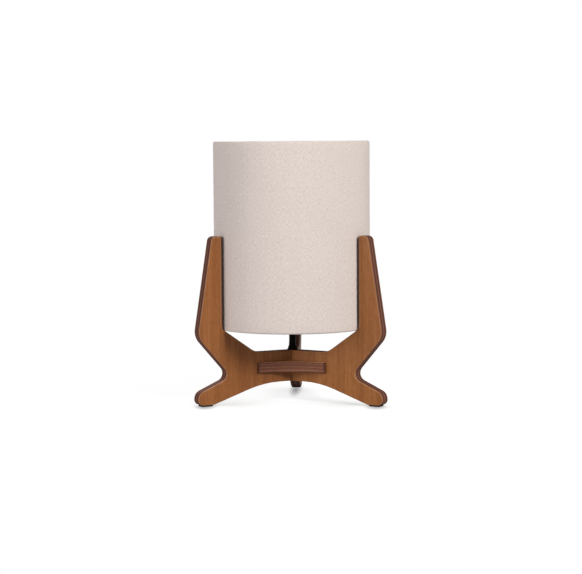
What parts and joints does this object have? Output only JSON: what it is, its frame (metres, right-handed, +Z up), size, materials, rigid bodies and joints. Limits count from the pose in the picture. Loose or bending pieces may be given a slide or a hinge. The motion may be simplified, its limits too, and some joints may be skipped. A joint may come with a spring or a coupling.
{
  "type": "table lamp",
  "caption": "Table lamp with a linen drum shade that rests among three flat plywood legs, over a black stem and a screw-in bulb.",
  "frame": {"origin": "middle of the lamp's footprint box, on the surface that its three feet stand on", "axes": "+Z up along the lamp's axis, which stands 19.4 mm in front of the origin; the rear leg points along +Y; -Y is the front"},
  "size_m": [0.2562, 0.2484, 0.3489],
  "materials": {
    "plywood": "clear satin lacquer, walnut-brown face veneer, fine layers on the edges",
    "pad_rubber": "matt black",
    "black_paint": "satin black",
    "zinc": "zinc plated",
    "nickel": "satin",
    "brass": "plain",
    "black_plastic": "moulded black",
    "porcelain": "unglazed white",
    "white_plastic": "moulded white",
    "board_white": "white circuit board",
    "opal": "frosted opal",
    "white_paint": "powder coated",
    "liner": "matt white laminated sheet",
    "linen": "off-white linen, plain weave"
  },
  "bodies": {
    "root": {"leg_rear": "plywood", "leg_front_left": "plywood", "leg_front_right": "plywood", "brace_star": "plywood", "foot_pad_rear": "pad_rubber", "foot_pad_front_left": "pad_rubber", "foot_pad_front_right": "pad_rubber", "stem_tube": "black_paint", "stem_collar": "black_paint", "stem_nut": "zinc", "cord_bush": "black_plastic", "holder_cap": "black_plastic", "holder_sleeve": "black_plastic", "holder_insert": "porcelain", "grub_screw": "zinc", "terminal_screws": "brass", "centre_contact": "brass", "side_contact": "brass"},
    "shade_seat": {"shade_ring_bottom": "white_paint"},
    "shade": {"shade_cover": "linen", "shade_liner": "liner", "shade_ring_top": "white_paint", "shade_seam": "linen"},
    "bulb_foot": {"bulb_tip": "zinc"},
    "bulb": {"bulb_insulator": "black_plastic", "bulb_screw_cap": "nickel", "bulb_collar": "white_plastic", "bulb_light_board": "board_white", "bulb_globe": "opal"}
  },
  "joints": [
    {"name": "shade_lift", "type": "slide", "parent": "root", "child": "shade_seat", "axis": [0, 0, 1], "range_m": [0, 0.18]},
    {"name": "shade_turn", "type": "hinge", "parent": "shade_seat", "child": "shade", "pos_m": [0, -0.0194, 0.2239], "axis": [0, 0, 1], "continuous": true},
    {"name": "bulb_rise", "type": "slide", "parent": "root", "child": "bulb_foot", "axis": [0, 0, 1], "range_m": [0, 0.01634]},
    {"name": "bulb_turn", "type": "hinge", "parent": "bulb_foot", "child": "bulb", "pos_m": [0, -0.0194, 0.168], "axis": [0, 0, 1], "range_deg": [0, 1620]}
  ],
  "couplings": [
    {"joint": "bulb_rise", "follows": "bulb_turn", "m_per_rad": 0.00057757}
  ]
}
